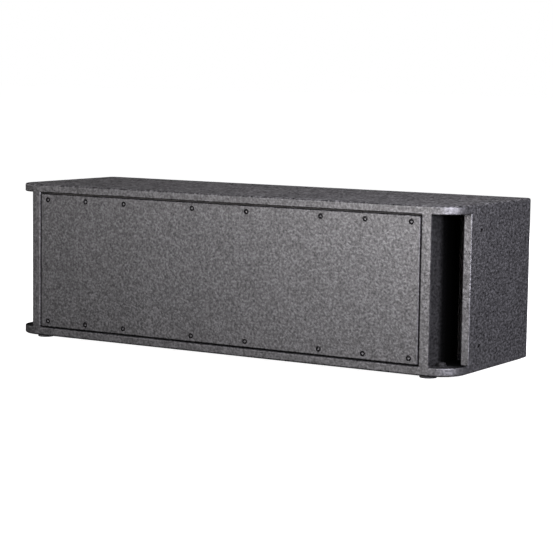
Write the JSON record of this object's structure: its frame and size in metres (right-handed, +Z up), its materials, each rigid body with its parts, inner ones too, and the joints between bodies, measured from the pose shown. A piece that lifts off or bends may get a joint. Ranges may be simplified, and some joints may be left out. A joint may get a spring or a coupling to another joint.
{
  "type": "line array speaker cabinet",
  "caption": "Long low-frequency line array cabinet with a screwed front access panel and a full-height slot port at each end; woofers and wiring are fitted inside.",
  "frame": {"origin": "on the floor under the middle of the cabinet: the bottom centre of its box, level with the underside of the feet", "axes": "+X to the right along the front, +Y from the access panel to the rear, +Z up"},
  "size_m": [0.975, 0.325, 0.3055],
  "materials": {
    "coated_plywood": "sprayed granular coat over plywood, satin",
    "black_stained_plywood": "plywood with a thin black stain, matt",
    "foam_rubber": "closed-cell foam, matt",
    "black_steel": "black oxide, satin",
    "zinc_steel": "zinc plated, satin",
    "foot_rubber": "moulded rubber, matt",
    "painted_plate": "powder coat, fine texture",
    "black_plastic": "glass-filled nylon, satin",
    "cast_basket": "die cast, black powder coat",
    "paper_cone": "pressed paper pulp, matt",
    "surround_cloth": "treated cotton cloth, semi-matt",
    "spider_cloth": "resin-dipped cotton cloth",
    "ferrite": "sintered ferrite, matt",
    "coil_copper": "copper winding and braid",
    "cable_jacket": "flexible jacket, satin"
  },
  "bodies": {
    "cabinet": {"access_panel": "coated_plywood", "access_panel_inserts": "zinc_steel", "access_panel_screws": "black_steel", "bottom_batten": "black_stained_plywood", "bottom_panel": "coated_plywood", "connector_plate": "painted_plate", "connector_plate_screws": "black_steel", "connector_screws": "black_steel", "driver_baffle": "black_stained_plywood", "foot_front_left": "foot_rubber", "foot_front_right": "foot_rubber", "foot_rear_left": "foot_rubber", "foot_rear_right": "foot_rubber", "foot_screws": "zinc_steel", "input_connector": "black_plastic", "left_batten": "black_stained_plywood", "left_brace": "black_stained_plywood", "left_magnet": "ferrite", "left_port_wall": "coated_plywood", "left_side_wall": "coated_plywood", "left_spider": "spider_cloth", "left_surround": "surround_cloth", "left_terminal_block": "black_plastic", "left_tinsel_leads": "coil_copper", "left_top_plate": "zinc_steel", "left_woofer_basket": "cast_basket", "left_woofer_cable": "cable_jacket", "left_woofer_gasket": "foam_rubber", "left_yoke": "zinc_steel", "link_cable": "cable_jacket", "link_connector": "black_plastic", "panel_gasket": "foam_rubber", "rear_panel": "coated_plywood", "rigging_point_inserts": "zinc_steel", "rigging_point_screws": "black_steel", "right_batten": "black_stained_plywood", "right_brace": "black_stained_plywood", "right_magnet": "ferrite", "right_port_wall": "coated_plywood", "right_side_wall": "coated_plywood", "right_spider": "spider_cloth", "right_surround": "surround_cloth", "right_terminal_block": "black_plastic", "right_tinsel_leads": "coil_copper", "right_top_plate": "zinc_steel", "right_woofer_basket": "cast_basket", "right_woofer_cable": "cable_jacket", "right_woofer_gasket": "foam_rubber", "right_yoke": "zinc_steel", "side_inserts": "zinc_steel", "top_batten": "black_stained_plywood", "top_panel": "coated_plywood", "woofer_screws": "black_steel", "woofer_tee_nuts": "zinc_steel"},
    "left_piston": {"left_cone": "paper_cone", "left_dust_cap": "paper_cone", "left_voice_coil": "coil_copper"},
    "right_piston": {"right_cone": "paper_cone", "right_dust_cap": "paper_cone", "right_voice_coil": "coil_copper"}
  },
  "joints": [
    {"name": "left_woofer_stroke", "type": "slide", "parent": "cabinet", "child": "left_piston", "axis": [0, -1, 0], "range_m": [-0.008, 0.008], "stiffness_N_per_m": 4000, "deforming": ["left_surround", "left_spider", "left_tinsel_leads"]},
    {"name": "right_woofer_stroke", "type": "slide", "parent": "cabinet", "child": "right_piston", "axis": [0, -1, 0], "range_m": [-0.008, 0.008], "stiffness_N_per_m": 4000, "deforming": ["right_surround", "right_spider", "right_tinsel_leads"]}
  ]
}
